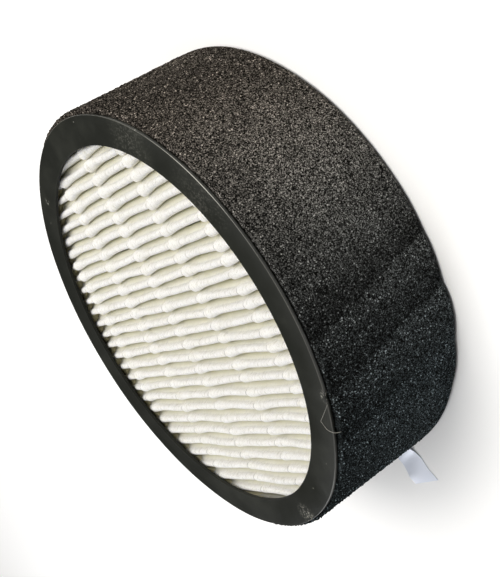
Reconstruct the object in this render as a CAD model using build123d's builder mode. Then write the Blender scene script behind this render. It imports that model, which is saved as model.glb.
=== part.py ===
from build123d import *
import math
import os

os.makedirs("parts", exist_ok=True)

# Round filter cassette lying on its rear face. The axis is Z, the floor is z = 0, the pleats run
# along Y and the sealing ring with the open pleats is on top. All sizes are in millimetres.
ring_diameter = 150.0
ring_width = 10.0
ring_thickness = 1.2
ring_chamfer = 0.3
filter_height = 50.0
tube_wall = 1.6
foam_proud = 1.6
foam_thickness = 5.0
foam_chamfer = 1.0
fold_pitch = 4.7
paper_thickness = 0.45
fold_setback = 0.8
rim_margin = 1.0
node_spacing = 26.7
node_shift = 3.0
node_growth = 0.6
node_rise = 4.5
node_fall = 1.5
node_flank = 2.5
node_overlap = 0.1
tab_width = 10.9
tab_length = 13.4
tab_thickness = 0.25
tab_sideways = 14.3
tab_floor_gap = 0.08
tab_root_gap = 0.2
tab_heading_degrees = 199.5

# Radii and levels that follow from the sizes above.
ring_radius = ring_diameter / 2
opening_radius = ring_radius - ring_width
foam_radius = ring_radius + foam_proud
tube_radius = foam_radius - foam_thickness
media_radius = tube_radius - tube_wall
front_level = filter_height - ring_thickness
rear_level = ring_thickness

# Folds of the media. Every fold turns the sheet round an axis that lies along Y.
fold_half = fold_pitch / 4 + paper_thickness / 2
slot_half = fold_pitch / 4 - paper_thickness / 2
ridges_per_side = int((media_radius - rim_margin - fold_half) / fold_pitch)
ridge_xs = [(i + 0.5) * fold_pitch for i in range(-ridges_per_side, ridges_per_side)]
valley_xs = [i * fold_pitch for i in range(-ridges_per_side, ridges_per_side + 1)]
media_end = ridges_per_side * fold_pitch + fold_half
facet_ratio = math.sqrt(0.75)
front_axis = front_level - fold_setback - fold_half * facet_ratio
rear_axis = rear_level + fold_setback + fold_half * facet_ratio

# Moulded tube with the flat sealing ring at its front end. Two flats in the bore carry the end
# flanks of the media.
with BuildPart() as frame:
    with BuildSketch(Plane.XZ):
        with BuildLine():
            Polyline(
                (opening_radius, front_level),
                (opening_radius, filter_height),
                (ring_radius - ring_chamfer, filter_height),
                (ring_radius, filter_height - ring_chamfer),
                (ring_radius, front_level),
                close=True,
            )
        make_face()
    revolve(axis=Axis.Z)
    with BuildSketch(Plane.XY.offset(rear_level)):
        Circle(tube_radius)
        with BuildSketch(mode=Mode.SUBTRACT):
            Circle(media_radius)
            Rectangle(media_end * 2, media_radius * 2, mode=Mode.INTERSECT)
    extrude(amount=front_level - rear_level)
frame.part.label = "frame"
export_step(frame.part, "parts/frame.step")

# Rear ring, welded to the open end of the tube.
with BuildPart() as rear_ring:
    with BuildSketch(Plane.XZ):
        with BuildLine():
            Polyline(
                (opening_radius, 0),
                (ring_radius - ring_chamfer, 0),
                (ring_radius, ring_chamfer),
                (ring_radius, rear_level),
                (opening_radius, rear_level),
                close=True,
            )
        make_face()
    revolve(axis=Axis.Z)
rear_ring.part.label = "rear_ring"
export_step(rear_ring.part, "parts/rear_ring.step")

# Embossed node of one ridge: it swells slowly towards the row line and falls off steeply behind it.
# Its flat facets lie round the fold's axis and lean towards both ends.
facet_half = fold_half * facet_ratio
flank_lean = math.degrees(math.atan((node_growth + node_overlap * 2) / node_flank))
with BuildPart() as node:
    with Locations((0, (node_fall - node_rise) / 2, 0)):
        Box(fold_half * 6, node_fall + node_rise, node_flank * 3)
    for facet_angle in (-flank_lean, 30, 90, 150, 180 + flank_lean):
        facet_x = math.cos(math.radians(facet_angle))
        facet_z = math.sin(math.radians(facet_angle))
        crest = facet_half + node_growth
        if facet_z < 0:
            crest = (fold_half + node_growth) * abs(facet_x)
        for lean in (-(node_growth + node_overlap) / node_rise, (node_growth + node_overlap) / node_fall):
            facet = Plane(origin=(facet_x * crest, 0, facet_z * crest), z_dir=(facet_x, lean, facet_z))
            split(bisect_by=facet, keep=Keep.BOTTOM)

node_rows = []
for step in range(-4, 5):
    row_y = node_shift + step * node_spacing
    if abs(row_y) < opening_radius:
        node_rows.append(row_y)
node_places = []
for row_y in node_rows:
    for x in ridge_xs:
        if math.hypot(x, row_y) < opening_radius:
            node_places.append((x, row_y, front_axis))

# Upper outline of the sheet, from the left end flank over every ridge to the right end flank.
upper_outline = [
    (-media_end, 0),
    (-media_end, front_axis),
    (-media_end + paper_thickness, front_axis),
]
for valley_x in valley_xs:
    upper_outline.append((valley_x - slot_half, rear_axis))
    upper_outline.append((valley_x, rear_axis - slot_half * facet_ratio))
    upper_outline.append((valley_x + slot_half, rear_axis))
    if valley_x < valley_xs[-1]:
        ridge_x = valley_x + fold_pitch / 2
        upper_outline.append((ridge_x - fold_half, front_axis))
        upper_outline.append((ridge_x - fold_half / 2, front_axis + facet_half))
        upper_outline.append((ridge_x + fold_half / 2, front_axis + facet_half))
        upper_outline.append((ridge_x + fold_half, front_axis))
upper_outline.append((media_end - paper_thickness, front_axis))
upper_outline.append((media_end, front_axis))
upper_outline.append((media_end, 0))

# Lower outline of the sheet, round the space that is open to the rear.
lower_outline = [
    (-tube_radius, -rear_level),
    (-tube_radius, rear_axis),
]
for valley_x in valley_xs:
    lower_outline.append((valley_x - fold_half, rear_axis))
    lower_outline.append((valley_x - fold_half / 2, rear_axis - facet_half))
    lower_outline.append((valley_x + fold_half / 2, rear_axis - facet_half))
    lower_outline.append((valley_x + fold_half, rear_axis))
    if valley_x < valley_xs[-1]:
        ridge_x = valley_x + fold_pitch / 2
        lower_outline.append((ridge_x - slot_half, front_axis))
        lower_outline.append((ridge_x, front_axis + slot_half * facet_ratio))
        lower_outline.append((ridge_x + slot_half, front_axis))
lower_outline.append((tube_radius, rear_axis))
lower_outline.append((tube_radius, -rear_level))

# Rim of the pack, trimmed round with one straight cut across every fold.
rim_xs = [-media_end]
for i in range(-ridges_per_side * 2, ridges_per_side * 2):
    rim_xs.append((i + 0.5) * fold_pitch / 2)
rim_xs.append(media_end)
rim_outline = [(x, math.sqrt(media_radius**2 - x**2)) for x in rim_xs]
rim_outline += [(-x, -y) for x, y in rim_outline]

# Filter media: one sheet folded to and fro.
with BuildPart() as pleated_media:
    with BuildSketch(Plane.XZ):
        with BuildLine():
            Polyline(*upper_outline, close=True)
        make_face()
    extrude(amount=media_radius, both=True)
    with Locations(*node_places):
        add(node.part)
    with BuildSketch(Plane.XZ):
        with BuildLine():
            Polyline(*lower_outline, close=True)
        make_face()
    extrude(amount=tube_radius, both=True, mode=Mode.SUBTRACT)
    with BuildSketch():
        with BuildLine():
            Polyline(*rim_outline, close=True)
        make_face()
    extrude(amount=filter_height, mode=Mode.INTERSECT)
pleated_media.part.label = "pleated_media"
export_step(pleated_media.part, "parts/pleated_media.step")

# Film strip for pulling the filter out. It is held between the foam and the rear ring, dips to the
# floor and curls up at its free end.
tab_heading = math.radians(tab_heading_degrees)
tab_plane = Plane(
    origin=(0, 0, 0),
    x_dir=(math.cos(tab_heading), math.sin(tab_heading), 0),
    z_dir=(math.sin(tab_heading), -math.cos(tab_heading), 0),
)
tab_base = rear_level + tab_thickness
tab_reach = foam_radius + tab_length
tab_knee = foam_radius + tab_length * 0.25
tab_knee_level = rear_level * 0.55 + tab_floor_gap
tab_dip = foam_radius + tab_length * 0.55
with BuildPart() as pull_tab:
    with BuildSketch(tab_plane.offset(tab_sideways - tab_width / 2)):
        with BuildLine():
            Polyline(
                (opening_radius, tab_base),
                (opening_radius, rear_level),
                (foam_radius, rear_level),
            )
            TangentArc((foam_radius, rear_level), (tab_knee, tab_knee_level), tangent=(1, 0))
            ThreePointArc((tab_knee, tab_knee_level), (tab_dip, tab_floor_gap), (tab_reach, rear_level))
            Line((tab_reach, rear_level), (tab_reach, tab_base))
            ThreePointArc(
                (tab_reach, tab_base),
                (tab_dip, tab_floor_gap + tab_thickness),
                (tab_knee, tab_knee_level + tab_thickness),
            )
            TangentArc((foam_radius, tab_base), (tab_knee, tab_knee_level + tab_thickness), tangent=(1, 0))
            Line((foam_radius, tab_base), (opening_radius, tab_base))
        make_face()
    extrude(amount=tab_width)
    Cylinder(tube_radius + tab_root_gap, filter_height, mode=Mode.SUBTRACT)
pull_tab.part.label = "pull_tab"
export_step(pull_tab.part, "parts/pull_tab.step")

# Foam strip round the tube, with a shallow channel where it presses on the film strip.
with BuildPart() as foam_sleeve:
    with BuildSketch(Plane.XZ):
        with BuildLine():
            Polyline(
                (tube_radius, rear_level),
                (foam_radius - foam_chamfer, rear_level),
                (foam_radius, rear_level + foam_chamfer),
                (foam_radius, front_level - foam_chamfer),
                (foam_radius - foam_chamfer, front_level),
                (tube_radius, front_level),
                close=True,
            )
        make_face()
    revolve(axis=Axis.Z)
    with BuildSketch(tab_plane.offset(tab_sideways - tab_width / 2)):
        with BuildLine():
            Polyline(
                (0, 0),
                (0, tab_base),
                (tab_reach, tab_base),
                (tab_reach, 0),
                close=True,
            )
        make_face()
    extrude(amount=tab_width, mode=Mode.SUBTRACT)
foam_sleeve.part.label = "foam_sleeve"
export_step(foam_sleeve.part, "parts/foam_sleeve.step")
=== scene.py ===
"""Looks of a round pleated air filter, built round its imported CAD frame.

The filter lies on its rear face. Its axis is Z, the pleats run along Y and the sealing ring is on top.
Sizes in this file are in millimetres unless a name says otherwise, and Blender's objects are in metres.
"""

import logging
import math
from dataclasses import dataclass, field
from enum import Enum
from functools import partial
from typing import Any, Callable, Sequence

import bpy
import numpy as np
from mathutils import Matrix

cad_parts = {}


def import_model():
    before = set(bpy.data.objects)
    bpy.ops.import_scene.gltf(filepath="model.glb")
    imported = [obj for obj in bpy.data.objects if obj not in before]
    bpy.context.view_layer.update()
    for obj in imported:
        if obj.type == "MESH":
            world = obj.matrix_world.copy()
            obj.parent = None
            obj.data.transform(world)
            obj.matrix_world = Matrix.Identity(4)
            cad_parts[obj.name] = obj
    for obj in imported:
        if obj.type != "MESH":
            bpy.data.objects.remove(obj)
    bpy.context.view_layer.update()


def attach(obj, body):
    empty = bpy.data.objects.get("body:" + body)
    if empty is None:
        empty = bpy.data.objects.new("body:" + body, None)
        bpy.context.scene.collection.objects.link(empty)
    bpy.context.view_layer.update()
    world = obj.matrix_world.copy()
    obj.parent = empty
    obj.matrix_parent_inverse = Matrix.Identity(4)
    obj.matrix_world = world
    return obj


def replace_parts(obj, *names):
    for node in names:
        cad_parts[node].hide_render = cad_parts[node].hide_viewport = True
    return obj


LOG = logging.getLogger("air_filter")
MM = 0.001
BODY = "root"
SHARP_EDGE = math.radians(50.0)

Adder = Callable[..., bpy.types.Node]


class Slot(Enum):
    """Material slots of the record."""

    FRAME = "frame_plastic"
    MEDIA = "filter_media"
    FOAM = "foam"
    FILM = "film"


class Kind(Enum):
    """Shader nodes that the finishes and the sky are made of."""

    PLACE = "ShaderNodeTexCoord"
    AXES = "ShaderNodeSeparateXYZ"
    NOISE = "ShaderNodeTexNoise"
    CELLS = "ShaderNodeTexVoronoi"
    MARK = "ShaderNodeAttribute"
    RANGE = "ShaderNodeMapRange"
    MATH = "ShaderNodeMath"
    VECTOR = "ShaderNodeVectorMath"
    MIX = "ShaderNodeMix"
    BUMP = "ShaderNodeBump"
    SHADER = "ShaderNodeBsdfPrincipled"
    RESULT = "ShaderNodeOutputMaterial"
    RAY = "ShaderNodeLightPath"
    GLOW = "ShaderNodeBackground"
    WORLD = "ShaderNodeOutputWorld"


def linear(hex_colour: str) -> tuple[float, float, float, float]:
    """Turn an sRGB hex colour into linear RGBA.

    Args:
        hex_colour: Six hex digits, with or without a leading hash sign.

    Returns:
        Red, green, blue and alpha, each from 0 to 1.
    """
    digits = hex_colour.lstrip("#")
    parts = [int(digits[i : i + 2], 16) / 255 for i in (0, 2, 4)]
    red, green, blue = (p / 12.92 if p <= 0.04045 else ((p + 0.055) / 1.055) ** 2.4 for p in parts)
    return red, green, blue, 1.0


def per_mm(size: float) -> float:
    """Texture scale at which one feature of a pattern is this many millimetres wide."""
    return 1 / (size * MM)


def add_node(
    tree: bpy.types.NodeTree, kind: Kind, inputs: dict[str | int, Any] | None = None, **settings: Any
) -> bpy.types.Node:
    """Add one shader node with its settings, values and links.

    Args:
        tree: The node tree of a material or of the world.
        kind: Which node.
        inputs: Socket name or number, with a value, an output socket to link from, or a node, which is
            linked from the first of its outputs that is in use.
        settings: Attributes of the node.

    Returns:
        The new node.
    """
    node = tree.nodes.new(kind.value)
    for name, value in settings.items():
        setattr(node, name, value)
    for key, value in (inputs or {}).items():
        if isinstance(value, bpy.types.Node):
            value = next(output for output in value.outputs if output.enabled)
        if isinstance(value, bpy.types.NodeSocket):
            tree.links.new(value, node.inputs[key])
        else:
            node.inputs[key].default_value = value
    return node


def new_material(name: str) -> tuple[bpy.types.Material, Adder]:
    """Make a material with an empty node tree.

    Args:
        name: Name of the material.

    Returns:
        The material, and the function that adds a node to it.
    """
    material = bpy.data.materials.new(name)
    material.use_nodes = True
    material.node_tree.nodes.clear()
    return material, partial(add_node, material.node_tree)


@dataclass(frozen=True)
class MouldedAbs:
    """Black ABS, injection-moulded in a satin tool.

    It gives the eye a soft, broad gloss on near-black, clouded by faint flow marks, with pale scuffs,
    settled specks of grit and a pale rim, partly edge wear and partly a painted highlight where the rim
    faces the light. The edge of the opening is matt. The tool's grain is finer than a tenth of a
    millimetre, so it is drawn coarser to show.
    """

    name: str = "moulded_abs_black"
    colour: str = "#13150e"
    rubbed: str = "#1f2118"
    # Pale colour of the scuffs and grit specks, and of the painted highlight, partly edge wear, on the rim.
    pale_and_lit: str = "#b9b7ac"
    ior: float = 1.54
    grain: float = 0.6
    flow: float = 18.0
    speck_spacing: float = 8.0
    opening_radius: float = 65.0
    rim_radius: float = 75.0
    rim_level: float = 50.0
    rim_band: tuple[float, float] = (0.2, 0.08)
    matt_band: tuple[float, float] = (0.15, 0.05)
    # Places of the scuffs on the ring's face, how far they reach and how pale they are.
    scuffs: tuple[tuple[float, float, float, float], ...] = (
        (-69.2, -24.0, 5.0, 0.9),
        (-27.0, -69.5, 2.5, 0.9),
        (55.9, 42.7, 1.8, 1.0),
        (58.0, -38.0, 12.0, 0.16),
        (36.0, -60.0, 14.0, 0.14),
    )
    # Painted highlight, partly edge wear, on the outer rim: its brightest place, its reach and its least all
    # round.
    highlight_and_wear_at: tuple[float, float] = (38.5, -64.0)
    highlight_and_wear_reach: float = 26.0
    highlight_and_wear_least: float = 0.16

    def build(self) -> bpy.types.Material:
        """Make the material from object coordinates.

        Returns:
            The material.
        """
        material, add = new_material(self.name)
        where = add(Kind.PLACE).outputs["Object"]
        cloudy = {"Detail": 4.0, "Roughness": 0.6}
        flow = add(Kind.NOISE, {"Vector": where, "Scale": per_mm(self.flow), **cloudy})
        grain = add(Kind.NOISE, {"Vector": where, "Scale": per_mm(self.grain), "Detail": 3.0})
        rub = add(Kind.RANGE, {"Value": flow, "From Min": 0.48, "From Max": 0.72, "To Max": 0.7})
        body = add(Kind.MIX, {0: rub, 6: linear(self.colour), 7: linear(self.rubbed)}, data_type="RGBA")
        specks = add(Kind.CELLS, {"Vector": where, "Scale": per_mm(self.speck_spacing)})
        pale = add(Kind.RANGE, {"Value": specks, "From Min": 0.035, "From Max": 0.02, "To Max": 0.55})
        scratch = add(Kind.RANGE, {"Value": grain, "From Min": 0.52, "From Max": 0.66})
        for x, y, reach, strength in self.scuffs:
            near = self._near(add, where, (x, y), reach, strength)
            scuff = add(Kind.MATH, {0: near, 1: scratch}, operation="MULTIPLY")
            pale = add(Kind.MATH, {0: scuff, 1: pale}, operation="MAXIMUM")
        flat = add(Kind.VECTOR, {0: where, 1: (1.0, 1.0, 0.0)}, operation="MULTIPLY")
        radius = add(Kind.VECTOR, {0: flat}, operation="LENGTH")
        level = add(Kind.AXES, {"Vector": where}).outputs["Z"]
        # Painted highlight, partly edge wear: a thin pale line at the rim's outer edge, brightest where it
        # faces the light.
        rim_wear_and_highlight = self._near(add, where, self.highlight_and_wear_at, self.highlight_and_wear_reach, 1.0)
        rim_wear_and_highlight = add(Kind.RANGE, {"Value": rim_wear_and_highlight, "To Min": self.highlight_and_wear_least})
        for place, rim, most in ((radius, self.rim_radius, 0.9), (level, self.rim_level, 1.0)):
            start, full = ((rim - inwards) * MM for inwards in self.rim_band)
            edge = add(Kind.RANGE, {"Value": place, "From Min": start, "From Max": full, "To Max": most})
            rim_wear_and_highlight = add(Kind.MATH, {0: rim_wear_and_highlight, 1: edge}, operation="MULTIPLY")
        pale = add(Kind.MATH, {0: rim_wear_and_highlight, 1: pale}, operation="MAXIMUM")
        colour = add(Kind.MIX, {0: pale, 6: body, 7: linear(self.pale_and_lit)}, data_type="RGBA")
        gloss = {"From Min": 0.3, "From Max": 0.7, "To Min": 0.28, "To Max": 0.42}
        rough = add(Kind.RANGE, {"Value": flow, **gloss})
        start, full = ((self.opening_radius + outwards) * MM for outwards in self.matt_band)
        matt = add(Kind.RANGE, {"Value": radius, "From Min": start, "From Max": full})
        rough = add(Kind.MATH, {0: rough, 1: matt}, operation="MAXIMUM")
        bump = add(Kind.BUMP, {"Height": grain, "Strength": 0.12, "Distance": 0.05 * MM})
        shader = add(
            Kind.SHADER, {"Base Color": colour, "Roughness": rough, "IOR": self.ior, "Normal": bump}
        )
        add(Kind.RESULT, {"Surface": shader})
        return material

    def _near(
        self, add: Adder, where: bpy.types.NodeSocket, centre: Sequence[float], reach: float, strength: float
    ) -> bpy.types.Node:
        """Mask that fades from its full strength at a place on the ring's face to nothing at some distance.

        Args:
            add: The function that adds a node to the material.
            where: Object coordinates.
            centre: The place on the face.
            reach: Distance at which the mask ends.
            strength: Value of the mask at the place.

        Returns:
            The mask.
        """
        place = (centre[0] * MM, centre[1] * MM, self.rim_level * MM)
        away = add(Kind.VECTOR, {0: where, 1: place}, operation="DISTANCE")
        return add(Kind.RANGE, {"Value": away, "From Min": reach * MM, "From Max": 0.0, "To Max": strength})


@dataclass(frozen=True)
class OpenCellFoam:
    """Dark polyether foam, sawn and unskinned.

    It gives the eye a dead matt speckle: black pores between fine struts painted pale, a painted highlight
    where they would catch the light, in painted warm light on the +X side and painted cool light on the
    other. A painted pool of light lightens one side, and on the cool side painted shade darkens the edge by
    the ring while painted floor light lightens the rear. The pores have their real size, about a third of a
    millimetre. Painted glints stand for struts that face the light, and these glints are drawn coarser
    than the pores to show.
    """

    name: str = "open_cell_foam_black"
    pore_colour: str = "#070706"
    # Strut colours: painted cool light on one side, painted warm light on the +X side.
    cool_lit_colour: str = "#a4b4ba"
    warm_lit_colour: str = "#d2c6b8"
    ior: float = 1.45
    pore: float = 0.34
    glint: float = 0.6
    drift: float = 30.0
    cool_side: float = -40.0
    warm_side: float = 60.0
    high: float = 48.0
    # Centre and reach of the painted pool of light on the struts.
    light_pool_at: tuple[float, float, float] = (32.3, -69.3, 25.0)
    light_pool_reach: float = 48.0
    light_mark: str = "light"

    def build(self) -> bpy.types.Material:
        """Make the material from object coordinates and the mark of the puckers' painted light and shade.

        Returns:
            The material.
        """
        material, add = new_material(self.name)
        where = add(Kind.PLACE).outputs["Object"]
        # Painted highlights: struts drawn pale between black pores, as if they catch the light.
        pores = add(Kind.CELLS, {"Vector": where, "Scale": per_mm(self.pore)})
        bright = add(Kind.AXES, {"Vector": pores.outputs["Color"]}).outputs["Y"]
        bright = add(Kind.MATH, {0: bright, 1: 2.0}, operation="POWER")
        hollow = add(Kind.RANGE, {"Value": pores, "From Min": 0.8, "From Max": 0.25})
        struts = add(Kind.MATH, {0: bright, 1: hollow}, operation="MULTIPLY")
        # Painted glints: pale spots where a strut would face the light.
        facing = add(Kind.CELLS, {"Vector": where, "Scale": per_mm(self.glint)})
        chance = add(Kind.AXES, {"Vector": facing.outputs["Color"]}).outputs["X"]
        chance = add(Kind.RANGE, {"Value": chance, "From Min": 0.79, "From Max": 0.98, "To Max": 0.95})
        glints = add(Kind.RANGE, {"Value": facing, "From Min": 0.5, "From Max": 0.15})
        glints = add(Kind.MATH, {0: glints, 1: chance}, operation="MULTIPLY")
        shade = self._shade(add, where)
        # Painted warm light on the +X side and cool light on the other side.
        x = add(Kind.AXES, {"Vector": where}).outputs["X"]
        sides = {"From Min": self.cool_side * MM, "From Max": self.warm_side * MM}
        warm = add(Kind.RANGE, {"Value": x, **sides})
        # Painted shade and floor light on the cool side: darker towards the ring, lighter towards the rear.
        z = add(Kind.AXES, {"Vector": where}).outputs["Z"]
        painted_bounce = add(Kind.RANGE, {"Value": z, "From Max": self.high * MM, "To Min": 1.35, "To Max": 0.5})
        painted_bounce = add(Kind.MIX, {0: warm, 2: painted_bounce, 3: 1.0})
        shade = add(Kind.MATH, {0: shade, 1: painted_bounce}, operation="MULTIPLY")
        amount = add(Kind.MATH, {0: struts, 1: shade}, operation="MULTIPLY")
        amount = add(Kind.MATH, {0: amount, 1: glints}, operation="ADD")
        # Painted light and shade of the puckers, from the sleeve's light mark.
        light = add(Kind.MARK, attribute_name=self.light_mark).outputs["Fac"]
        amount = add(Kind.MATH, {0: amount, 1: light}, operation="MULTIPLY", use_clamp=True)
        cool_lit, warm_lit = linear(self.cool_lit_colour), linear(self.warm_lit_colour)
        lit_strut_colour = add(Kind.MIX, {0: warm, 6: cool_lit, 7: warm_lit}, data_type="RGBA")
        colour = add(Kind.MIX, {0: amount, 6: linear(self.pore_colour), 7: lit_strut_colour}, data_type="RGBA")
        bump = add(Kind.BUMP, {"Height": struts, "Strength": 0.7, "Distance": 0.35 * MM})
        matt = {"Roughness": 1.0, "IOR": self.ior, "Specular IOR Level": 0.0}
        shader = add(Kind.SHADER, {"Base Color": colour, "Normal": bump, **matt})
        add(Kind.RESULT, {"Surface": shader})
        return material

    def _shade(self, add: Adder, where: bpy.types.NodeSocket) -> bpy.types.Node:
        """How pale the struts are: uneven all over, and paler in a painted pool of light.

        Args:
            add: The function that adds a node to the material.
            where: Object coordinates.

        Returns:
            The shade.
        """
        drift = add(Kind.NOISE, {"Vector": where, "Scale": per_mm(self.drift), "Detail": 3.0})
        uneven = {"From Min": 0.3, "From Max": 0.7, "To Min": 0.3, "To Max": 0.46}
        shade = add(Kind.RANGE, {"Value": drift, **uneven})
        # Painted pool of light: the struts grow paler towards one place on the lit side.
        place = tuple(v * MM for v in self.light_pool_at)
        away = add(Kind.VECTOR, {0: where, 1: place}, operation="DISTANCE")
        fade = {"From Min": self.light_pool_reach * MM, "From Max": 0.0, "To Max": 0.6}
        pale_and_lit = add(Kind.RANGE, {"Value": away, **fade}, interpolation_type="SMOOTHSTEP")
        return add(Kind.MATH, {0: shade, 1: pale_and_lit}, operation="ADD")


@dataclass(frozen=True)
class FibrePaper:
    """White spun-fibre media, hot embossed.

    It gives the eye a matt, felt-like warm white that light soaks into, with painted shade that turns it
    olive towards the bottom of the folds, painted shade along crinkles across them and painted grey shade
    in the crease behind each node. Its fibres are far too fine to show, so tufts of them are drawn
    instead, in painted shade.
    """

    name: str = "fibre_media_white"
    crest: str = "#f5f3ec"
    # Colour of the painted shade towards the bottom of the folds.
    valley_shade: str = "#bfbb96"
    shaded: str = "#cfcbbd"
    # Colour of the painted shade in the crease behind each node.
    crease: str = "#a5a196"
    ior: float = 1.46
    crest_level: float = 46.9
    valley_level: float = 44.4
    tuft: float = 0.6
    crinkle: tuple[float, float, float] = (2.2, 0.9, 2.2)
    cloud: float = 5.0
    soak: float = 3.2
    crease_mark: str = "crease"

    def build(self) -> bpy.types.Material:
        """Make the material from object coordinates and the mark of the creases.

        Returns:
            The material.
        """
        material, add = new_material(self.name)
        where = add(Kind.PLACE).outputs["Object"]
        # Painted shade: the colour turns olive with depth below the crests.
        level = add(Kind.AXES, {"Vector": where}).outputs["Z"]
        fold = {"From Min": self.crest_level * MM, "From Max": self.valley_level * MM}
        depth = add(Kind.RANGE, {"Value": level, **fold})
        cloud = add(Kind.NOISE, {"Vector": where, "Scale": per_mm(self.cloud), "Detail": 4.0})
        uneven = add(Kind.RANGE, {"Value": cloud, "From Min": 0.35, "From Max": 0.75, "To Max": 0.12})
        shade_and_cloud = add(Kind.MATH, {0: depth, 1: uneven}, operation="ADD", use_clamp=True)
        colour = add(Kind.MIX, {0: shade_and_cloud, 6: linear(self.crest), 7: linear(self.valley_shade)}, data_type="RGBA")
        # Painted shade of the tufts and crinkles, in place of the shading that their bumps would give.
        matted = {"Detail": 4.0, "Roughness": 0.7, "Distortion": 1.5}
        tufts = add(Kind.NOISE, {"Vector": where, "Scale": per_mm(self.tuft), **matted})
        hidden = add(Kind.RANGE, {"Value": tufts, "From Min": 0.5, "From Max": 0.7, "To Max": 0.9})
        across = tuple(per_mm(size) for size in self.crinkle)
        across = add(Kind.VECTOR, {0: where, 1: across}, operation="MULTIPLY")
        crinkle = add(Kind.NOISE, {"Vector": across, "Scale": 1.0, "Detail": 3.0, "Distortion": 0.8})
        crinkle = add(Kind.RANGE, {"Value": crinkle, "From Min": 0.52, "From Max": 0.72, "To Max": 0.8})
        hidden = add(Kind.MATH, {0: hidden, 1: crinkle}, operation="MAXIMUM")
        colour = add(Kind.MIX, {0: hidden, 6: colour, 7: linear(self.shaded)}, data_type="RGBA")
        # Painted shade in the crease behind each node.
        mark = add(Kind.MARK, attribute_name=self.crease_mark).outputs["Fac"]
        mark = add(Kind.RANGE, {"Value": mark, "From Min": 0.2, "To Max": 0.75})
        colour = add(Kind.MIX, {0: mark, 6: colour, 7: linear(self.crease)}, data_type="RGBA")
        bump = add(Kind.BUMP, {"Height": tufts, "Strength": 1.0, "Distance": 0.4 * MM})
        matt = {"Roughness": 0.85, "IOR": self.ior, "Specular IOR Level": 0.25}
        soaked = {
            "Subsurface Weight": 0.6,
            "Subsurface Radius": (1.0, 0.96, 0.8),
            "Subsurface Scale": self.soak * MM,
        }
        shader = add(Kind.SHADER, {"Base Color": colour, "Normal": bump, **matt, **soaked})
        add(Kind.RESULT, {"Surface": shader})
        return material


@dataclass(frozen=True)
class MilkyFilm:
    """Thin blown polyethylene film.

    It gives the eye a pale, slightly blue strip, half see-through, with a hazy gloss and faint creases from
    handling.
    """

    name: str = "polyethylene_film_milky"
    colour: str = "#e6edfc"
    ior: float = 1.51
    crease: float = 2.5
    haze: float = 6.0

    def build(self) -> bpy.types.Material:
        """Make the material from object coordinates.

        Returns:
            The material.
        """
        material, add = new_material(self.name)
        where = add(Kind.PLACE).outputs["Object"]
        creases = add(Kind.NOISE, {"Vector": where, "Scale": per_mm(self.crease), "Detail": 3.0})
        haze = add(Kind.NOISE, {"Vector": where, "Scale": per_mm(self.haze), "Detail": 2.0})
        gloss = {"From Min": 0.3, "From Max": 0.7, "To Min": 0.25, "To Max": 0.5}
        rough = add(Kind.RANGE, {"Value": haze, **gloss})
        bump = add(Kind.BUMP, {"Height": creases, "Strength": 0.25, "Distance": 0.1 * MM})
        clear = {"IOR": self.ior, "Transmission Weight": 0.15}
        shader = add(
            Kind.SHADER, {"Base Color": linear(self.colour), "Roughness": rough, "Normal": bump, **clear}
        )
        add(Kind.RESULT, {"Surface": shader})
        return material


@dataclass(frozen=True)
class HotMeltThread:
    """Hot-melt adhesive, drawn to a string as it cooled.

    It gives the eye a pale, waxy hairline, glossier in some places than in others.
    """

    name: str = "hot_melt_thread_pale"
    colour: str = "#9c9a92"
    ior: float = 1.48
    mottling: float = 1.5

    def build(self) -> bpy.types.Material:
        """Make the material from object coordinates.

        Returns:
            The material.
        """
        material, add = new_material(self.name)
        where = add(Kind.PLACE).outputs["Object"]
        mottling = add(Kind.NOISE, {"Vector": where, "Scale": per_mm(self.mottling)})
        rough = add(Kind.RANGE, {"Value": mottling, "To Min": 0.35, "To Max": 0.6})
        shader = add(
            Kind.SHADER, {"Base Color": linear(self.colour), "Roughness": rough, "IOR": self.ior}
        )
        add(Kind.RESULT, {"Surface": shader})
        return material


@dataclass(frozen=True)
class PottingAdhesive:
    """Hot-melt adhesive, cast round the ends of the folds.

    It gives the eye a waxy, grey olive bead with soft lumps.
    """

    name: str = "potting_adhesive_olive"
    colour: str = "#d2ccab"
    ior: float = 1.48
    lump: float = 3.0

    def build(self) -> bpy.types.Material:
        """Make the material from object coordinates.

        Returns:
            The material.
        """
        material, add = new_material(self.name)
        where = add(Kind.PLACE).outputs["Object"]
        lumps = add(Kind.NOISE, {"Vector": where, "Scale": per_mm(self.lump), "Detail": 2.0})
        bump = add(Kind.BUMP, {"Height": lumps, "Strength": 0.6, "Distance": 0.4 * MM})
        waxy = {"Roughness": 0.5, "IOR": self.ior}
        shader = add(Kind.SHADER, {"Base Color": linear(self.colour), "Normal": bump, **waxy})
        add(Kind.RESULT, {"Surface": shader})
        return material


@dataclass(frozen=True)
class PaleFloor:
    """Matt white painted studio floor, which gives the eye nothing but the filter's soft shadow."""

    name: str = "studio_floor_white"
    colour: str = "#fcfcfb"

    def build(self) -> bpy.types.Material:
        """Make the plain material.

        Returns:
            The material.
        """
        material, add = new_material(self.name)
        shader = add(Kind.SHADER, {"Base Color": linear(self.colour), "Roughness": 0.9})
        add(Kind.RESULT, {"Surface": shader})
        return material


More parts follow.
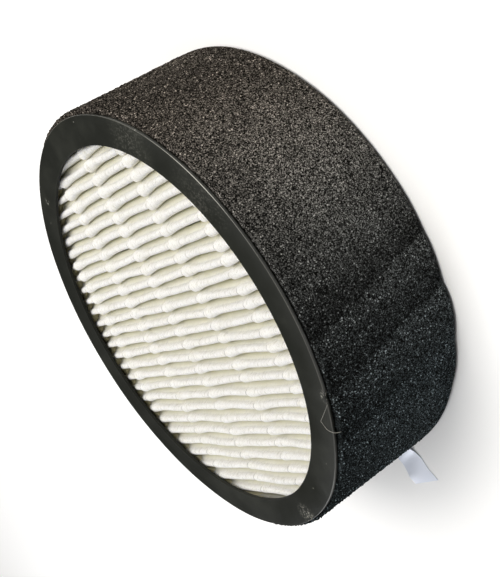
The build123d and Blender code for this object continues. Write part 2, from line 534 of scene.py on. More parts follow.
def make_piece(
    name: str,
    points: np.ndarray,
    faces: Sequence[Sequence[int]],
    material: bpy.types.Material,
    crisp: bool = False,
) -> bpy.types.Object:
    """Make a smooth-shaded mesh that rides on the part.

    Args:
        name: Name of the piece.
        points: One row per vertex, in millimetres.
        faces: Vertex numbers of each face.
        material: Its finish.
        crisp: True keeps sharp edges sharp.

    Returns:
        The new object.
    """
    mesh = bpy.data.meshes.new(name)
    mesh.from_pydata((points * MM).tolist(), [], [tuple(int(i) for i in face) for face in faces])
    mesh.polygons.foreach_set("use_smooth", np.ones(len(mesh.polygons), dtype=bool))
    mesh.materials.append(material)
    mesh.update()
    if crisp:
        mesh.set_sharp_from_angle(angle=SHARP_EDGE)
    piece = bpy.data.objects.new(name, mesh)
    bpy.context.scene.collection.objects.link(piece)
    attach(piece, BODY)
    return piece


def mark_points(piece: bpy.types.Object, name: str, values: np.ndarray) -> None:
    """Keep a number at each vertex of a piece, for its finish to read.

    Args:
        piece: The piece.
        name: Name of the mark.
        values: One number per vertex.
    """
    mark = piece.data.attributes.new(name, "FLOAT", "POINT")
    mark.data.foreach_set("value", values)


def rounded_outline(corners: Sequence[tuple[float, float, float]], steps: int = 5) -> np.ndarray:
    """Round the corners of a closed outline.

    Args:
        corners: Radius, level and rounding of each corner, in order.
        steps: Points along each rounded corner.

    Returns:
        One row of radius and level per point.
    """
    points: list[np.ndarray] = []
    count = len(corners)
    for i, (radius, level, size) in enumerate(corners):
        here = np.array((radius, level))
        if size <= 0:
            points.append(here)
            continue
        before = np.array(corners[i - 1][:2]) - here
        after = np.array(corners[(i + 1) % count][:2]) - here
        before = here + before / np.linalg.norm(before) * size
        after = here + after / np.linalg.norm(after) * size
        for t in np.linspace(0, 1, steps):
            points.append((1 - t) ** 2 * before + 2 * t * (1 - t) * here + t**2 * after)
    return np.array(points)


def smooth_line(route: Sequence[Sequence[float]], steps: int) -> np.ndarray:
    """Points on a smooth line through the points of a route.

    Args:
        route: One row per point.
        steps: Points for each stretch.

    Returns:
        One row per point of the line.
    """
    knots = np.array(route)
    longer = np.vstack([knots[0] * 2 - knots[1], knots, knots[-1] * 2 - knots[-2]])
    line = []
    for before, start, stop, after in zip(longer, longer[1:], longer[2:], longer[3:]):
        for t in np.linspace(0, 1, steps, endpoint=False):
            bend = (2 * before - 5 * start + 4 * stop - after) * t**2
            twist = (3 * start - before - 3 * stop + after) * t**3
            line.append(0.5 * (2 * start + (stop - before) * t + bend + twist))
    return np.array(line + [knots[-1]])


def grid_faces(number: np.ndarray) -> np.ndarray:
    """Faces between the neighbours in a grid.

    Args:
        number: Vertex numbers in rows and columns.

    Returns:
        One row of four vertex numbers per face.
    """
    corners = (number[:-1, :-1], number[1:, :-1], number[1:, 1:], number[:-1, 1:])
    return np.stack(corners, axis=-1).reshape(-1, 4)


def lathe(section: np.ndarray, around: int) -> tuple[np.ndarray, np.ndarray, np.ndarray]:
    """Turn a section about the Z axis.

    Args:
        section: One row of radius and level per point.
        around: Sections round the axis.

    Returns:
        The angle of every vertex, its radius and level, and the faces.
    """
    angle = np.repeat(np.linspace(-math.pi, math.pi, around, endpoint=False), len(section))
    number = np.arange(around * len(section)).reshape(around, len(section))
    return angle, np.tile(section, (around, 1)), grid_faces(np.pad(number, (0, 1), mode="wrap"))


def from_polar(angle: np.ndarray, radius: np.ndarray, level: np.ndarray) -> np.ndarray:
    """Points from angles, radii and levels."""
    return np.stack([radius * np.cos(angle), radius * np.sin(angle), level], axis=1)


@dataclass
class RingFrame:
    """Tube with the flat front ring, and the rear ring."""

    ring_radius: float = 75.0
    opening_radius: float = 65.0
    thickness: float = 1.2
    height: float = 50.0
    tube_radius: float = 71.6
    bore_radius: float = 70.0
    rounding: float = 0.16
    inner_rounding: float = 0.2
    opening_rounding: float = 0.08
    sections: int = 480
    chip_angle: float = math.radians(-111.5)
    chip_width: float = math.radians(2.6)
    chip_depth: float = 0.55
    rim_width: float = 1.0
    warp: float = 0.05
    finish: MouldedAbs = field(default_factory=MouldedAbs)

    def build(self) -> list[bpy.types.Object]:
        """Make both mouldings.

        Returns:
            The front frame and the rear ring.
        """
        material = self.finish.build()
        return [self._front(material), self._rear(material)]

    def _front(self, material: bpy.types.Material) -> bpy.types.Object:
        """Make the front ring and its tube as one moulding, with a small chip in its rim.

        Args:
            material: The finish.

        Returns:
            The front frame.
        """
        under, top = self.height - self.thickness, self.height
        section = rounded_outline(
            [
                (self.opening_radius, top, self.opening_rounding),
                (self.opening_radius, under, self.inner_rounding),
                (self.bore_radius, under, 0.0),
                (self.bore_radius, self.thickness, 0.0),
                (self.tube_radius, self.thickness, 0.0),
                (self.tube_radius, under, 0.0),
                (self.ring_radius, under, self.inner_rounding),
                (self.ring_radius, top, self.rounding),
            ]
        )
        angle, flat, faces = lathe(section, self.sections)
        radius, level = flat.T
        rim = np.clip((radius - self.ring_radius + self.rim_width) / self.rim_width, 0, 1)
        dent = np.exp(-(((angle - self.chip_angle) / self.chip_width) ** 2) * 2)
        # Waves of unlike lengths make the chip ragged and the rim slightly uneven.
        ragged = 0.6 + 0.4 * np.sin(angle * 260) * np.sin(angle * 151 + 1.0)
        uneven = np.sin(angle * 7 + 0.4) + np.sin(angle * 13 + 2.0)
        radius = radius + rim * (self.warp * uneven - self.chip_depth * dent * ragged)
        piece = make_piece("front_frame", from_polar(angle, radius, level), faces, material)
        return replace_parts(piece, "frame")

    def _rear(self, material: bpy.types.Material) -> bpy.types.Object:
        """Make the flat rear ring.

        Args:
            material: The finish.

        Returns:
            The rear ring.
        """
        section = rounded_outline(
            [
                (self.opening_radius, self.thickness, self.inner_rounding),
                (self.opening_radius, 0.0, self.rounding),
                (self.ring_radius, 0.0, self.rounding),
                (self.ring_radius, self.thickness, self.inner_rounding),
            ]
        )
        angle, flat, faces = lathe(section, self.sections)
        points = from_polar(angle, flat[:, 0], flat[:, 1])
        piece = make_piece("rear_plate", points, faces[:, ::-1], material)
        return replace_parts(piece, "rear_ring")


@dataclass
class FoamSleeve:
    """Foam strip round the tube, rough as sawn foam is, with a lip over the edge of the rear ring.

    Each pucker is a crease: its angle in degrees at the rear, how sharp it is there, and the height of the
    bulge behind it. Angles are otherwise in radians.
    """

    inner_radius: float = 71.65
    outer_radius: float = 76.55
    seat: float = 1.22
    lip: float = 0.75
    lip_draft: float = 0.1
    ring_radius: float = 75.15
    high: float = 48.7
    shoulder: float = 0.8
    tab_angle: float = math.radians(189.0)
    tab_spread: float = math.radians(8.5)
    tab_room: float = 0.85
    tab_reach: tuple[float, float] = (1.0, 6.0)
    step: float = 0.57
    sections: int = 840
    roughness: float = 0.15
    calm_least: float = 0.35
    calm_reach: float = 8.0
    end_share: float = 0.3
    unevenness: float = 0.05
    rear_flare: float = 1.25
    flare_angle: float = math.radians(-57.0)
    flare_spread: float = 1.05
    front_dip: float = 0.5
    dip_angle: float = math.radians(-155.0)
    dip_spread: float = 0.4
    puckers: tuple[tuple[float, float, float], ...] = (
        (-91.6, 1.0, 0.0),
        (-103.8, 1.0, 1.1),
        (-117.0, 0.3, 0.4),
    )
    pucker_lean: float = 0.158
    pucker_fall: float = 8.5
    pucker_rise: float = 3.5
    pucker_reach: float = 15.0
    pucker_depth: float = 0.4
    # Painted shade in front of each crease and painted light on the bulge behind it.
    crease_shade: float = -0.5
    bulge_light: float = 0.24
    seed: int = 5
    finish: OpenCellFoam = field(default_factory=OpenCellFoam)

    def build(self) -> list[bpy.types.Object]:
        """Make the sleeve.

        Returns:
            The foam sleeve.
        """
        random = np.random.default_rng(self.seed)
        corners = rounded_outline(
            [
                (self.inner_radius, self.high, 0.0),
                (self.inner_radius, self.seat, 0.0),
                (self.ring_radius, self.seat, 0.0),
                (self.ring_radius + self.lip_draft, self.lip, 0.0),
                (self.outer_radius, self.lip, self.shoulder / 2),
                (self.outer_radius, self.high, self.shoulder),
            ]
        )
        angle, flat, faces = lathe(self._fill(corners), self.sections)
        radius, level = flat.T
        shown = np.clip(radius - self.inner_radius, 0, 1)
        pucker, light = self._pucker(angle, level)
        swell = self._swell(angle, level) + pucker
        # The grit fades towards the lip, so that the foam meets the rear ring in a clean line.
        grit = random.normal(0, self.roughness, len(radius))
        grit *= np.clip(self.calm_least + level / self.calm_reach, 0, 1)
        # The flat ends are roughened inwards only, so that they stay clear of the rings.
        end = np.where(level > self.high - 0.2, -1.0, np.where(level < self.seat + 0.1, 1.0, 0.0))
        radius = radius + shown * (np.where(end == 0, 1.0, self.end_share) * grit + swell)
        level = level + shown * end * np.abs(random.normal(0, self.roughness, len(level)))
        turn = np.angle(np.exp(1j * (angle - self.tab_angle)))
        low, high = self.tab_reach
        lift = np.exp(-((turn / self.tab_spread) ** 4)) * np.clip((high - level) / (high - low), 0, 1)
        points = from_polar(angle, radius, level + lift * self.tab_room)
        piece = make_piece("foam_band", points, faces, self.finish.build())
        # The light mark carries the painted light and shade of the puckers.
        mark_points(piece, self.finish.light_mark, light)
        return [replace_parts(piece, "foam_sleeve")]

    def _swell(self, angle: np.ndarray, level: np.ndarray) -> np.ndarray:
        """How far the sleeve strays from a true cylinder: uneven, flared at the rear, dipped at the front.

        Args:
            angle: Angle of each vertex.
            level: Level of each vertex.

        Returns:
            The height of each vertex.
        """
        height = level / self.high
        uneven = np.sin(angle * 5 + 1.0) + np.sin(angle * 11 + level / 9.0)
        flare = np.exp(-(((angle - self.flare_angle) / self.flare_spread) ** 4)) * (1 - height) ** 2
        dip = np.exp(-(((angle - self.dip_angle) / self.dip_spread) ** 2)) * height
        return self.unevenness * uneven + self.rear_flare * flare - self.front_dip * dip

    def _pucker(self, angle: np.ndarray, level: np.ndarray) -> tuple[np.ndarray, np.ndarray]:
        """Shape of the shallow creases and bulges of the stretched sleeve.

        Args:
            angle: Angle of each vertex.
            level: Level of each vertex.

        Returns:
            How far each vertex stands out, and the painted light and shade on it, one being the usual.
        """
        out, light = np.zeros_like(angle), np.ones_like(angle)
        for start, foot, height in self.puckers:
            turn = np.degrees(angle) - start + self.pucker_lean * level
            size = foot + (1 - foot) * np.clip(level / self.high, 0, 1)
            width = np.where(turn > 0, self.pucker_fall, self.pucker_rise)
            crease = np.clip(1 - np.abs(turn) / width, 0, 1)
            along = np.clip(-turn / self.pucker_reach, 0, 1)
            out += height * 4 * along * (1 - along) - size * self.pucker_depth * crease**1.5
            behind = np.clip(1 + turn / self.pucker_reach, 0, 1)
            # Painted shade in front of each crease and painted light on the bulge behind it.
            light += size * np.where(turn > 0, self.crease_shade * crease**0.7, self.bulge_light * behind)
        return out, light

    def _fill(self, corners: np.ndarray) -> np.ndarray:
        """Add points to the long sides of the section, the hidden inner side apart.

        Args:
            corners: One row of radius and level per corner.

        Returns:
            The same rows with those between them.
        """
        points: list[np.ndarray] = []
        for here, there in zip(corners, np.roll(corners, -1, axis=0)):
            points.append(here)
            length = float(np.linalg.norm(there - here))
            hidden = max(here[0], there[0]) < self.inner_radius + 0.1
            if length > self.step * 1.5 and not hidden:
                for t in np.linspace(0, 1, int(length / self.step) + 1)[1:-1]:
                    points.append(here + (there - here) * t)
        return np.array(points)


@dataclass
class Skin:
    """One side of the folded sheet.

    The ends are the vertex numbers along both trimmed edges, run is the length along the sheet at each of
    them, and mark is how sharply the sheet is creased at each point, which sets the painted shade there.
    """

    points: np.ndarray
    faces: list[list[int]]
    ends: tuple[np.ndarray, np.ndarray]
    run: np.ndarray
    mark: np.ndarray


@dataclass
class PleatedMedia:
    """One sheet of media folded to and fro, with rows of embossed nodes on the front folds.

    Each front fold leans over a slit on its -X side and falls away in a long puffed flank on its +X side.
    """

    radius: float = 69.95
    pitch: float = 4.7
    gauge: float = 0.45
    crest_level: float = 48.0
    foot_level: float = 2.0
    ridges_per_side: int = 14
    lean: float = 0.22
    slope: float = 1.92
    steep: float = -0.1
    rear_puff: float = 0.9
    puff_depth: float = 2.1
    puff_power: float = 1.8
    puff_return: float = 3.0
    shallow: float = 0.5
    row_spacing: float = 26.7
    row_shift: float = 3.0
    rows_per_side: int = 3
    growth: float = 0.5
    growth_lean: float = 0.3
    growth_spread: float = 0.13
    slip_spread: float = 0.28
    far_side: float = 1.4
    lift: float = 0.42
    clearance: float = 0.04
    rise: float = 10.5
    rise_power: float = 1.4
    fall: float = 1.1
    slit_share: float = 0.65
    flank_share: float = 0.3
    crease: float = 0.16
    crease_at: float = 1.045
    crease_width: float = 0.35
    mark_width: float = 0.3
    node_depth: float = 4.2
    wander: float = 0.16
    far_wander: float = 0.2
    wander_depth: float = 2.2
    sways: tuple[float, float, float] = (8.5, 4.6, 11.0)
    sway_shares: tuple[float, float, float] = (1.0, 0.7, 0.6)
    trim: float = 3.0
    marked_slope: float = 0.25
    front_depths: tuple[float, ...] = (0.0, 0.4, 0.8, 1.25, 1.7, 2.1, 4.5, 12.0)
    rear_depths: tuple[float, ...] = (0.0, 1.0, 2.0, 3.0, 6.0, 12.0)
    node_stations: tuple[float, ...] = (
        *(-6.2, -4.9, -3.8, -2.9, -2.1, -1.4, -0.8, -0.3),
        *(0.15, 0.4, 0.65, 0.9, 1.15, 1.5, 2.1, 3.2),
    )
    plain_stations: int = 8
    rear_stations: int = 24
    seed: int = 11
    flat: tuple[float, float] = (0.14, 2.716)
    flat_area: float = 0.298
    finish: FibrePaper = field(default_factory=FibrePaper)
    phase: np.ndarray = field(init=False, repr=False)
    size: np.ndarray = field(init=False, repr=False)
    slip: np.ndarray = field(init=False, repr=False)

    def __post_init__(self) -> None:
        """Draw how each fold strays, and how the nodes differ in size and place."""
        random = np.random.default_rng(self.seed)
        folds, rows = self.ridges_per_side * 2, self.rows_per_side * 2 + 1
        self.phase = random.uniform(0, 2 * math.pi, (folds, len(self.sways)))
        self.size = random.normal(1.0, self.growth_spread, (folds, rows))
        self.slip = random.normal(0.0, self.slip_spread, (folds, rows))

    def build(self) -> list[bpy.types.Object]:
        """Make the folded sheet with both of its sides.

        Returns:
            The media.
        """
        front, rear = self._skin(front=True), self._skin(front=False)
        shift = len(front.points)
        faces: list[Sequence[int]] = [*front.faces]
        faces += [[i + shift for i in face] for face in rear.faces]
        for one, two, flip in zip(front.ends, rear.ends, (True, False)):
            faces += self._seam(one, two + shift, front.run, rear.run, flip)
        points = np.vstack([front.points, rear.points])
        piece = make_piece("folded_media", points, faces, self.finish.build())
        mark_points(piece, self.finish.crease_mark, np.concatenate([front.mark, rear.mark]))
        return [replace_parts(piece, "pleated_media")]

    def _rows(self) -> np.ndarray:
        """Positions along the pleats of the rows of nodes."""
        return self.row_shift + self.row_spacing * np.arange(-self.rows_per_side, self.rows_per_side + 1)

    def _stations(self, front: bool) -> np.ndarray:
        """Positions along the pleats of the mesh lines, close together at the nodes.

        Args:
            front: True for the side that faces the ring.

        Returns:
            The positions, in order.
        """
        edge = self.radius
        if not front:
            return np.linspace(-edge, edge, self.rear_stations)
        places = {-edge, edge}
        start, stop = self.node_stations[-1], self.row_spacing + self.node_stations[0]
        for row in self._rows():
            places.update(row + u for u in self.node_stations)
            places.update(np.linspace(row + start, row + stop, self.plain_stations + 2)[1:-1])
        return np.array(sorted(p for p in places if -edge <= p <= edge))

    def _section(self, front: bool) -> np.ndarray:
        """Section of one side of the sheet.

        Args:
            front: True for the side that faces the ring.

        Returns:
            One row per point: x, level, the normal's x and z, the ridge's number, the depth under the
            fold's axis and the length along the sheet.
        """
        quarter, half = self.pitch / 4, self.gauge / 2
        top, foot = self.crest_level - quarter - half, self.foot_level + quarter + half
        span = top - foot
        bend = math.pi * quarter
        if front:
            side, ridge_steps, valley_steps = 1.0, 8, 1
            depths = (*self.front_depths, span - self.front_depths[-1], span)
        else:
            side, ridge_steps, valley_steps = -1.0, 2, 8
            depths = (0.0, self.rear_depths[-1], *(span - d for d in self.rear_depths[::-1]))
        count = self.ridges_per_side * 2
        rows: list[tuple[float, ...]] = []
        length = 0.0
        for k in range(-count - 1, count + 1):
            x = (k + 0.5) * self.pitch / 2
            down = (k + count + 1) % 2 == 0
            ridge = min(max((k + count - down) // 2, 0), count - 1)
            normal = side if down else -side
            to_ridge = (-1.0 if down else 1.0) if -count <= k < count else 0.0
            for d in depths if down else depths[::-1]:
                inwards = self._outwards(span - d, self.rear_puff)
                inwards -= self._outwards(d * self._hurry(x), self.slope if down else self.steep)
                along = length + (d if down else span - d)
                rows.append((x + normal * half + to_ridge * inwards, top - d, normal, 0.0, ridge, d, along))
            length += span
            if k == count:
                break
            if down:
                sign, level, depth, steps = -side, foot, span, valley_steps
            else:
                sign, level, depth, steps = side, top, 0.0, ridge_steps
            reach = quarter + sign * half
            for t in np.linspace(0, 1, steps + 1)[1:-1]:
                turn = math.pi * (1 + t if down else 1 - t)
                nx, nz = math.cos(turn), math.sin(turn)
                place = ((k + 1) * self.pitch / 2 + (reach - self.lean) * nx, level + reach * nz)
                rows.append((*place, sign * nx, sign * nz, ridge, depth, length + bend * t))
            length += bend
        return np.array(rows)

    def _hurry(self, x: float) -> float:
        """How much sooner the folds close up at a place across them: they stand closer on the +X side."""
        return 1 + self.shallow * max(x, 0.0) / self.radius

    def _outwards(self, depth: float, puff: float) -> float:
        """How far a flank stands out from its own fold, at a depth under the fold's axis.

        Args:
            depth: Depth under the axis.
            puff: The shift where the flank stands out most.

        Returns:
            The shift: inwards at the fold, the given one at the puff's depth, none far below.
        """
        rise = min(depth / self.puff_depth, 1.0) ** self.puff_power
        back = min(max((depth - self.puff_depth) / (self.puff_return * self.puff_depth), 0.0), 1.0)
        return puff * rise * (1 - back * back * (3 - 2 * back)) - self.lean * (1 - rise)

    def _swell(self, ridge: int, y: np.ndarray) -> np.ndarray:
        """How far the nodes of one ridge stand out of the plain fold.

        Args:
            ridge: Number of the ridge.
            y: Positions along the pleats.

        Returns:
            The height at each position, negative in the crease behind a node.
        """
        out = np.zeros_like(y)
        growth = self.growth + self.growth_lean * (ridge / self.ridges_per_side - 1)
        for row, size, slip in zip(self._rows(), self.size[ridge], self.slip[ridge]):
            u = y - row - slip
            before = (0.5 + 0.5 * np.cos(math.pi * np.clip(u / self.rise, -1, 0))) ** self.rise_power
            behind = 0.5 + 0.5 * np.cos(math.pi * np.clip(u / self.fall, 0, 1))
            crease = np.exp(-(((u - self.crease_at) / self.crease_width) ** 2))
            out += growth * size * np.where(u < 0, before, behind) - self.crease * crease
        return out

    def _crease(self, ridge: int, y: np.ndarray) -> np.ndarray:
        """How sharply the sheet is creased behind the nodes of one ridge, which sets the painted shade
        there.

        Args:
            ridge: Number of the ridge.
            y: Positions along the pleats.

        Returns:
            One at the middle of a crease, nothing away from it.
        """
        out = np.zeros_like(y)
        for row, slip in zip(self._rows(), self.slip[ridge]):
            u = y - row - slip - self.fall
            out = np.maximum(out, np.exp(-((u / self.mark_width) ** 2)))
        return out

    def _skin(self, front: bool) -> Skin:
        """Mesh of one side of the sheet.

        Args:
            front: True for the side that faces the ring.

        Returns:
            The side.
        """
        section, stations = self._section(front), self._stations(front)
        many, long = len(section), len(stations)
        x0, z0, nx, nz, ridge, depth, run = section.T
        limit = np.sqrt(np.maximum(self.radius**2 - x0**2, 0.0))
        y = np.clip(stations[None, :], -limit[:, None], limit[:, None])
        x, z = (np.repeat(start[:, None], long, axis=1) for start in (x0, z0))
        mark = np.zeros((many, long))
        for p in range(many):
            r = int(ridge[p])
            waves = zip(self.sway_shares, self.sways, self.phase[r])
            aside, across, above = (share * np.sin(y[p] / size + start) for share, size, start in waves)
            stray = self.wander + self.far_wander * min(max(-x0[p] / self.radius, 0.0), 1.0) ** 2
            stray = stray * math.exp(-depth[p] / self.wander_depth)
            stray = stray * np.clip((limit[p] - np.abs(y[p])) / self.trim, 0, 1)
            x[p] += stray * (aside + across)
            z[p] += stray * above
            if front and depth[p] < self.node_depth:
                swell = self._swell(r, y[p]) * (1 - (depth[p] / self.node_depth) ** 2)
                # A node widens its fold no further than its share of the gap to the next fold.
                spread, share = (self.far_side, self.slit_share) if nx[p] < 0 else (1.0, self.flank_share)
                down = depth[p] * self._hurry(float(x0[p]))
                gap = self.pitch / 2 - self.gauge
                gap -= self._outwards(down, self.slope) + self._outwards(down, self.steep)
                x[p] += nx[p] * np.minimum(spread * swell, max(gap * share - self.clearance, 0.0))
                z[p] += nz[p] * swell * self.lift
            # The crease mark sets the painted shade in the crease.
            if front and nz[p] > self.marked_slope:
                mark[p] = self._crease(r, y[p])
        # Points past the round rim fall on it. They are merged, and faces left with two corners drop out.
        number = np.arange(many * long).reshape(many, long)
        for p in range(many):
            low = np.where(y[p] <= -limit[p] + 1e-9)[0]
            high = np.where(y[p] >= limit[p] - 1e-9)[0]
            number[p, low] = number[p, low[-1]]
            number[p, high] = number[p, high[0]]
        quads = grid_faces(number)
        faces = [list(dict.fromkeys(quad)) for quad in (quads if front else quads[:, ::-1]).tolist()]
        faces = [face for face in faces if len(face) > 2]
        used = np.unique(np.concatenate(faces))
        renumber = np.full(many * long, -1)
        renumber[used] = np.arange(len(used))
        points = np.stack([x, y, z], axis=-1).reshape(-1, 3)[used]
        faces = [renumber[face].tolist() for face in faces]
        ends = (renumber[number[:, 0]], renumber[number[:, -1]])
        return Skin(points, faces, ends, run, mark.reshape(-1)[used])

    @staticmethod
    def _seam(
        one: np.ndarray, two: np.ndarray, one_run: np.ndarray, two_run: np.ndarray, flip: bool
    ) -> list[tuple[int, ...]]:
        """Close the trimmed edge between both sides of the sheet.

        Args:
            one: Vertex numbers along the edge of the first side.
            two: Vertex numbers along the edge of the second side.
            one_run: Length along the sheet of each of the first.
            two_run: Length along the sheet of each of the second.
            flip: True turns the faces over.

        Returns:
            Triangles between both edges.
        """
        faces: list[tuple[int, ...]] = []
        i = j = 0
        while i < len(one) - 1 or j < len(two) - 1:
            if j == len(two) - 1 or (i < len(one) - 1 and one_run[i + 1] <= two_run[j + 1]):
                face = (one[i], two[j], one[i + 1])
                i += 1
            else:
                face = (one[i], two[j], two[j + 1])
                j += 1
            faces.append(face[::-1] if flip else face)
        return faces


@dataclass
class PullTab:
    """Film strip at the rear edge for pulling the filter out, with a slight twist from handling.

    Its edges are routes of points: distance from the filter's axis along the strip, place across, level.
    """

    gauge: float = 0.08
    heading: float = math.radians(199.5)
    near_edge: tuple[tuple[float, float, float], ...] = (
        (71.3, 8.85, 1.33),
        (75.6, 8.85, 1.33),
        (77.25, 8.85, 1.22),
        (79.2, 8.8, 0.45),
        (82.2, 8.2, 0.14),
        (86.0, 8.9, 0.1),
        (91.4, 8.4, 0.1),
    )
    far_edge: tuple[tuple[float, float, float], ...] = (
        (69.1, 19.75, 1.33),
        (74.0, 19.75, 1.33),
        (77.8, 19.75, 0.97),
        (80.9, 19.75, 0.82),
        (83.8, 19.75, 1.36),
        (85.8, 19.75, 1.78),
        (88.6, 19.75, 1.48),
    )
    steps: int = 8
    rows: int = 12
    flat: tuple[float, float] = (0.0109, 0.02)
    finish: MilkyFilm = field(default_factory=MilkyFilm)

    def build(self) -> list[bpy.types.Object]:
        """Make the strip.

        Returns:
            The film strip.
        """
        near, far = (smooth_line(edge, self.steps)[:, None, :] for edge in (self.near_edge, self.far_edge))
        share = np.linspace(0, 1, self.rows)[None, :, None]
        along, aside, level = np.moveaxis(near * (1 - share) + far * share, -1, 0)
        c, s = math.cos(self.heading), math.sin(self.heading)
        middle = np.stack([along * c + aside * s, along * s - aside * c, level], axis=-1).reshape(-1, 3)
        half = np.array((0.0, 0.0, self.gauge / 2))
        number = np.arange(len(middle)).reshape(level.shape)
        edge = np.concatenate([number[0, :-1], number[:-1, -1], number[-1, :0:-1], number[:0:-1, 0]])
        ahead = np.roll(edge, -1)
        under = len(middle)
        wall = np.stack([edge, ahead, ahead + under, edge + under], axis=-1)
        quads = grid_faces(number)
        faces = np.vstack([quads, quads[:, ::-1] + under, wall])
        points = np.vstack([middle + half, middle - half])
        piece = make_piece("film_strip", points, faces, self.finish.build(), crisp=True)
        return [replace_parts(piece, "pull_tab")]


@dataclass
class SealantBead:
    """Bead of adhesive that seals the ends of the folds to the tube's wall."""

    inner_radius: float = 67.6
    outer_radius: float = 69.98
    low: float = 5.5
    high: float = 47.2
    rounding: float = 1.2
    unevenness: float = 0.25
    sections: int = 240
    finish: PottingAdhesive = field(default_factory=PottingAdhesive)

    def build(self) -> list[bpy.types.Object]:
        """Make the bead.

        Returns:
            The bead.
        """
        section = rounded_outline(
            [
                (self.inner_radius, self.high, self.rounding),
                (self.inner_radius, self.low, self.rounding),
                (self.outer_radius, self.low, 0.0),
                (self.outer_radius, self.high, 0.0),
            ]
        )
        angle, flat, faces = lathe(section, self.sections)
        radius, level = flat.T
        uneven = self.unevenness * (np.sin(angle * 23) + np.sin(angle * 37 + 1.0))
        uneven = uneven * (radius < self.outer_radius - 0.1)
        points = from_polar(angle, radius + uneven * 0.4, level + uneven)
        return [make_piece("sealant_bead", points, faces, self.finish.build())]


@dataclass
class GlueThread:
    """Thin string of adhesive left on the ring and the foam."""

    radius: float = 0.07
    taper: float = 0.35
    sides: int = 6
    steps: int = 6
    route: tuple[tuple[float, float, float], ...] = (
        (-29.5, -69.05, 50.02),
        (-31.9, -65.6, 50.1),
        (-34.4, -61.8, 50.1),
        (-35.0, -61.6, 50.1),
        (-37.2, -62.3, 50.1),
        (-38.1, -63.9, 50.1),
        (-38.5, -65.2, 49.95),
        (-38.95, -66.15, 48.75),
        (-38.9, -66.25, 47.4),
        (-37.3, -67.15, 46.4),
        (-34.5, -68.65, 44.4),
    )
    finish: HotMeltThread = field(default_factory=HotMeltThread)

    def build(self) -> list[bpy.types.Object]:
        """Make the thread.

        Returns:
            The thread.
        """
        line = smooth_line(self.route, self.steps)
        ahead = np.gradient(line, axis=0)
        ahead /= np.linalg.norm(ahead, axis=1)[:, None]
        # The thread never runs along this direction, so the cross product never vanishes.
        aside = np.cross(ahead, np.array((0.3, 0.2, 0.93)))
        aside /= np.linalg.norm(aside, axis=1)[:, None]
        above = np.cross(ahead, aside)
        turn = np.linspace(0, 2 * math.pi, self.sides, endpoint=False)[None, :, None]
        thin = self.radius * (1 - self.taper * np.abs(np.linspace(-1, 1, len(line))))
        ring = np.cos(turn) * aside[:, None, :] + np.sin(turn) * above[:, None, :]
        points = (line[:, None, :] + thin[:, None, None] * ring).reshape(-1, 3)
        number = np.arange(len(points)).reshape(len(line), self.sides)
        faces = grid_faces(np.pad(number, ((0, 0), (0, 1)), mode="wrap")).tolist()
        faces += [number[0].tolist(), number[-1, ::-1].tolist()]
        return [make_piece("adhesive_string", points, faces, self.finish.build())]


class Lamp(Enum):
    """Soft lights of the studio: place in millimetres, size in millimetres, power in watts and colour."""

    KEY = ((550.0, -155.0, 820.0), 800.0, 9.2, "#fffcf8")
    FILL = ((-380.0, -760.0, 350.0), 500.0, 0.05, "#a8c8ff")
    SIDE = ((-680.0, 440.0, 480.0), 500.0, 2.4, "#f3f6ff")


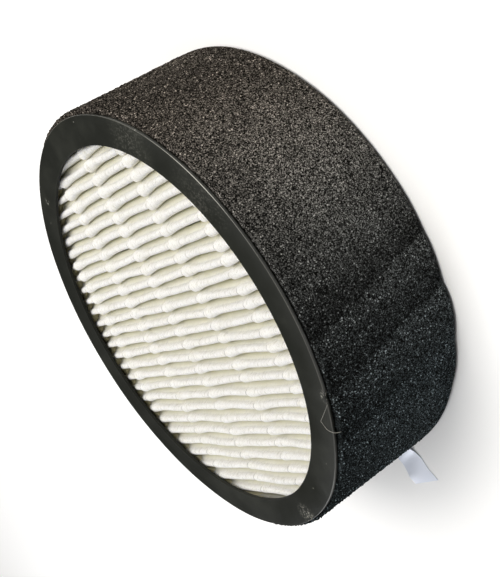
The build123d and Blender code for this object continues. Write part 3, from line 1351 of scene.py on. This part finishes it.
@dataclass
class Studio:
    """Floor, lights and camera.

    The camera is rolled, because in the photograph the filter seems to stand on its rim.
    """

    floor_size: float = 20000.0
    floor_gap: float = 0.05
    sky: str = "#fdfcfa"
    sky_low: float = 0.05
    sky_high: float = 1.15
    sky_heights: tuple[float, float] = (0.53, 0.85)
    backdrop: float = 0.54
    lamp_aim: tuple[float, float, float] = (0.0, 0.0, 25.0)
    camera_place: tuple[float, float, float] = (47.86, -312.76, 184.19)
    camera_aim: tuple[float, float, float] = (0.37, -15.69, 25.78)
    camera_roll: float = math.radians(-122.242)
    lens: float = 65.76
    sensor: float = 36.0
    nearest: float = 10.0
    finish: PaleFloor = field(default_factory=PaleFloor)

    def build(self) -> None:
        """Set the stage."""
        self._floor()
        self._sky()
        for lamp in Lamp:
            self._lamp(lamp)
        self._camera()

    def _floor(self) -> None:
        """Lay the plain floor just under the rear ring."""
        half, level = self.floor_size / 2 * MM, -self.floor_gap * MM
        mesh = bpy.data.meshes.new("floor")
        corners = [(-half, -half, level), (half, -half, level), (half, half, level), (-half, half, level)]
        mesh.from_pydata(corners, [], [(0, 1, 2, 3)])
        mesh.materials.append(self.finish.build())
        floor = bpy.data.objects.new("floor", mesh)
        bpy.context.scene.collection.objects.link(floor)

    def _sky(self) -> None:
        """Hang a dome of light, dim towards the horizon, which the camera sees as a plain pale backdrop."""
        world = bpy.data.worlds.new("studio")
        world.use_nodes = True
        world.node_tree.nodes.clear()
        add = partial(add_node, world.node_tree)
        where = add(Kind.PLACE).outputs["Generated"]
        height = add(Kind.AXES, {"Vector": where}).outputs["Z"]
        low, high = self.sky_heights
        dome = {"From Min": low, "From Max": high, "To Min": self.sky_low, "To Max": self.sky_high}
        strength = add(Kind.RANGE, {"Value": height, **dome})
        seen = add(Kind.RAY).outputs["Is Camera Ray"]
        strength = add(Kind.MIX, {0: seen, 2: strength, 3: self.backdrop})
        glow = add(Kind.GLOW, {"Color": linear(self.sky), "Strength": strength})
        add(Kind.WORLD, {"Surface": glow})
        bpy.context.scene.world = world
        bpy.context.scene.view_settings.view_transform = "Standard"

    def _lamp(self, lamp: Lamp) -> None:
        """Hang one square soft light that faces the filter.

        Args:
            lamp: Which light.
        """
        place, size, power, colour = lamp.value
        light = bpy.data.lights.new(lamp.name.lower(), "AREA")
        light.size = size * MM
        light.energy = power
        light.color = linear(colour)[:3]
        self._stand(light, place, self.lamp_aim)

    def _camera(self) -> None:
        """Stand the camera where the photograph was taken from, with its roll."""
        camera = bpy.data.cameras.new("camera")
        camera.lens = self.lens
        camera.sensor_width = self.sensor
        camera.clip_start = self.nearest * MM
        camera.clip_end = self.floor_size * MM
        holder = self._stand(camera, self.camera_place, self.camera_aim, self.camera_roll)
        bpy.context.scene.camera = holder

    @staticmethod
    def _stand(
        data: bpy.types.ID, place: Sequence[float], aim: Sequence[float], roll: float = 0.0
    ) -> bpy.types.Object:
        """Put a light or a camera in its place and turn it to what it faces.

        Args:
            data: The light or the camera.
            place: Where it stands.
            aim: The point that it faces.
            roll: Its turn about its own line of sight.

        Returns:
            The new object.
        """
        holder = bpy.data.objects.new(data.name, data)
        bpy.context.scene.collection.objects.link(holder)
        back = np.array(place) - np.array(aim)
        back /= np.linalg.norm(back)
        level = np.cross((0.0, 0.0, 1.0), back)
        level /= np.linalg.norm(level)
        right = math.cos(roll) * level + math.sin(roll) * np.cross(back, level)
        turned = np.eye(4)
        turned[:3] = np.stack([right, np.cross(back, right), back, np.array(place) * MM], axis=1)
        holder.matrix_world = Matrix(turned.tolist())
        return holder


def main() -> None:
    """Load the CAD frame and build every piece round it."""
    logging.basicConfig(level=logging.INFO, format="%(name)s: %(message)s")
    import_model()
    for assembly in (RingFrame(), PleatedMedia(), SealantBead(), FoamSleeve(), PullTab(), GlueThread()):
        for piece in assembly.build():
            mesh = piece.data
            LOG.info("%s: %d vertices, %d faces", piece.name, len(mesh.vertices), len(mesh.polygons))
    Studio().build()


if __name__ == "__main__":
    main()
